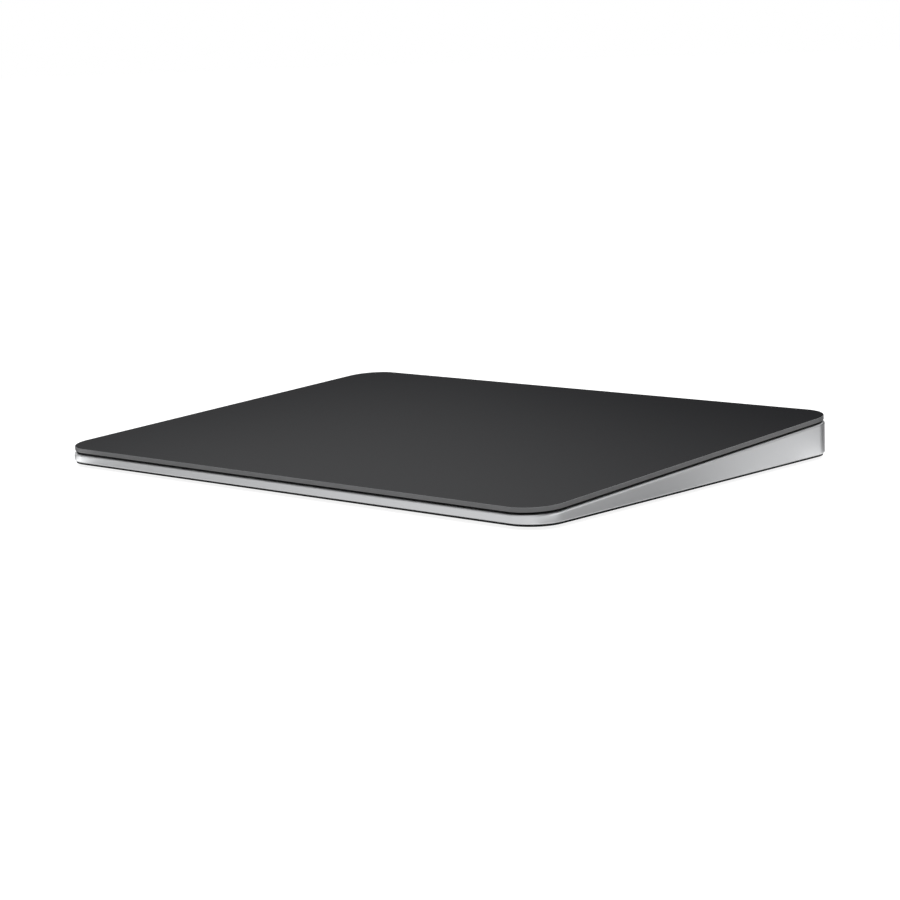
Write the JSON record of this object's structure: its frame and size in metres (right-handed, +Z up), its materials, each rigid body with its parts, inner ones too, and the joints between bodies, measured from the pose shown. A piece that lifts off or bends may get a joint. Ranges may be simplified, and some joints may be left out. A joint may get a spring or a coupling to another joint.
{
  "type": "trackpad",
  "caption": "Wedge-shaped desk trackpad: satin dark glass touch plate on a machined aluminium housing, with haptic actuator, power switch and rear charging inlet.",
  "frame": {"origin": "on the desk, under the middle of the outline", "axes": "+X to the user's right, +Y to the thick rear edge with the inlet, +Z up"},
  "size_m": [0.16, 0.115, 0.0109],
  "materials": {
    "anodised_aluminium": "bead-blasted, silver anodised, satin",
    "dark_sheet": "fine matt grain",
    "black_foam": "closed-cell foam",
    "satin_dark_glass": "etched satin, dark printed back",
    "sensor_laminate": "solder resist over copper",
    "board_laminate": "solder resist over copper",
    "spring_steel": "rolled",
    "screw_steel": "blackened",
    "can_steel": "tinned",
    "inlet_steel": "drawn, satin",
    "soft_iron": "ground",
    "copper": "enamelled copper",
    "chip_resin": "moulded",
    "ivory_plastic": "moulded",
    "black_plastic": "moulded",
    "knob_plastic": "satin",
    "amber_film": "polyimide film",
    "gauge_film": "polyimide film",
    "marker_film": "printed film",
    "pouch_foil": "laminated foil",
    "foot_rubber": "matt",
    "gel": "soft silicone"
  },
  "bodies": {
    "housing": {"antenna_carrier": "black_plastic", "antenna_foil": "copper", "base_sheet": "dark_sheet", "battery_guard_left": "board_laminate", "battery_guard_right": "board_laminate", "battery_lead_left": "amber_film", "battery_lead_right": "amber_film", "battery_left": "pouch_foil", "battery_right": "pouch_foil", "board_chips": "chip_resin", "board_connectors": "ivory_plastic", "board_screws": "screw_steel", "dust_seal": "black_foam", "flexure_arm_front_left": "spring_steel", "flexure_arm_front_right": "spring_steel", "flexure_arm_rear_left": "spring_steel", "flexure_arm_rear_right": "spring_steel", "flexure_screws": "screw_steel", "foot_front_left": "foot_rubber", "foot_front_right": "foot_rubber", "foot_rear_left": "foot_rubber", "foot_rear_right": "foot_rubber", "haptic_bracket": "spring_steel", "haptic_cable": "amber_film", "haptic_coils_left": "copper", "haptic_coils_right": "copper", "haptic_core_left": "soft_iron", "haptic_core_right": "soft_iron", "haptic_screws": "screw_steel", "housing": "anodised_aluminium", "inlet_saddle": "inlet_steel", "inlet_screws": "screw_steel", "inlet_shell": "inlet_steel", "inlet_tongue": "black_plastic", "main_board": "board_laminate", "sensor_cable": "amber_film", "shield_can_left": "can_steel", "shield_can_right": "can_steel", "strain_gauges": "gauge_film", "switch_body": "black_plastic", "switch_marker": "marker_film"},
    "suspension": {"gel_pad_front_left": "gel", "gel_pad_front_right": "gel", "gel_pad_rear_left": "gel", "gel_pad_rear_right": "gel"},
    "touch_plate": {"touch_glass": "satin_dark_glass", "touch_sensor_board": "sensor_laminate", "stiffener_plate": "spring_steel", "touch_controller_chips": "chip_resin", "sensor_connector": "ivory_plastic", "attraction_bar": "soft_iron"},
    "power_switch": {"switch_knob": "knob_plastic"}
  },
  "joints": [
    {"name": "plate_press", "type": "slide", "parent": "housing", "child": "suspension", "axis": [0, -0.0521, 0.9986], "range_m": [-0.00015, 0], "stiffness_N_per_m": 15000, "springref_m": 0.00015, "deforming": ["gel_pad_front_left", "gel_pad_front_right", "gel_pad_rear_left", "gel_pad_rear_right", "sensor_cable"]},
    {"name": "haptic_shake", "type": "slide", "parent": "suspension", "child": "touch_plate", "axis": [1, 0, 0], "range_m": [-0.00015, 0.00015], "stiffness_N_per_m": 15000},
    {"name": "power_switch_slide", "type": "slide", "parent": "housing", "child": "power_switch", "axis": [1, 0, 0], "range_m": [0, 0.002]}
  ]
}
